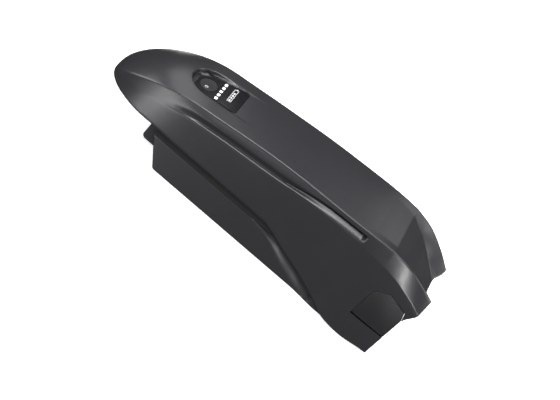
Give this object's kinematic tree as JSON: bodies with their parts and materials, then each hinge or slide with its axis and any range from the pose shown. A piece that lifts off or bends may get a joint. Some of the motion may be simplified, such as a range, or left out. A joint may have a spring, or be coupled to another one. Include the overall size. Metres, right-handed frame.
{
  "type": "e-bike battery pack",
  "caption": "Long down-tube bicycle battery pack with a rounded nose, recessed power button and lights, side charge port and end discharge socket.",
  "frame": {"origin": "under the middle of the pack's length and width, level with the lowest edge of the shell's skirts", "axes": "+X along the pack towards the discharge socket, +Y away from the charge port side, +Z out of the face with the power button"},
  "size_m": [0.372, 0.0874, 0.1169],
  "materials": {
    "shell_grey": "satin moulded plastic with fine grain",
    "case_grey": "matt moulded plastic with fine grain",
    "dark_plastic": "matt black moulded plastic",
    "lens_black": "gloss black",
    "light_white": "white diffuser",
    "soft_black": "matt elastomer",
    "steel": "plated steel",
    "nickel": "nickel-plated strip",
    "contact_gold": "plated contact",
    "cell_wrap": "blue shrink wrap",
    "holder_white": "natural flame-retardant plastic",
    "board_green": "solder resist",
    "component_black": "moulded epoxy",
    "aluminium": "milled",
    "paper": "insulating paper",
    "foam": "closed-cell foam",
    "fuse_orange": "translucent amber moulding",
    "wire_red": "silicone insulation",
    "wire_black": "silicone insulation",
    "wire_grey": "silicone insulation"
  },
  "bodies": {
    "pack": {"upper_shell": "shell_grey", "lower_case": "case_grey", "nose_plate": "case_grey", "case_gasket": "soft_black", "lock_keeper": "dark_plastic", "keeper_screws": "steel", "case_screws": "steel", "cells": "cell_wrap", "holder_left": "holder_white", "holder_right": "holder_white", "tie_rods": "steel", "bus_left": "nickel", "bus_right": "nickel", "insulator_left": "paper", "insulator_right": "paper", "foam_pad": "foam", "thermistors": "component_black", "bms_board": "board_green", "board_screws": "steel", "bms_chips": "component_black", "heat_plate": "aluminium", "indicator_bezel": "shell_grey", "indicator_lens": "lens_black", "button_seal": "soft_black", "charge_lights": "light_white", "light_board": "board_green", "light_chips": "light_white", "tact_switch": "component_black", "panel_screws": "steel", "indicator_cable": "wire_black", "cover_pin": "steel", "port_frame": "dark_plastic", "charge_socket": "dark_plastic", "charge_contacts": "contact_gold", "port_screws": "steel", "end_cap": "dark_plastic", "cap_seal": "soft_black", "cap_screws": "steel", "vent_plug": "dark_plastic", "discharge_socket": "dark_plastic", "power_contacts": "contact_gold", "signal_contacts": "contact_gold", "main_fuse": "fuse_orange", "positive_cable": "wire_red", "negative_cable": "wire_black", "signal_cable": "wire_grey", "charge_cable": "wire_red", "balance_cable": "wire_grey"},
    "button": {"power_button": "lens_black"},
    "cover": {"port_cover": "dark_plastic", "cover_plug": "soft_black"}
  },
  "joints": [
    {"name": "button_press", "type": "slide", "parent": "pack", "child": "button", "axis": [0.2605, 0, -0.9655], "range_m": [0, 0.0008], "stiffness_N_per_m": 2500},
    {"name": "cover_hinge", "type": "hinge", "parent": "pack", "child": "cover", "pos_m": [0.15692, -0.04025, 0.0336], "axis": [0.9995, 0.03, 0], "range_deg": [0, 90]}
  ]
}
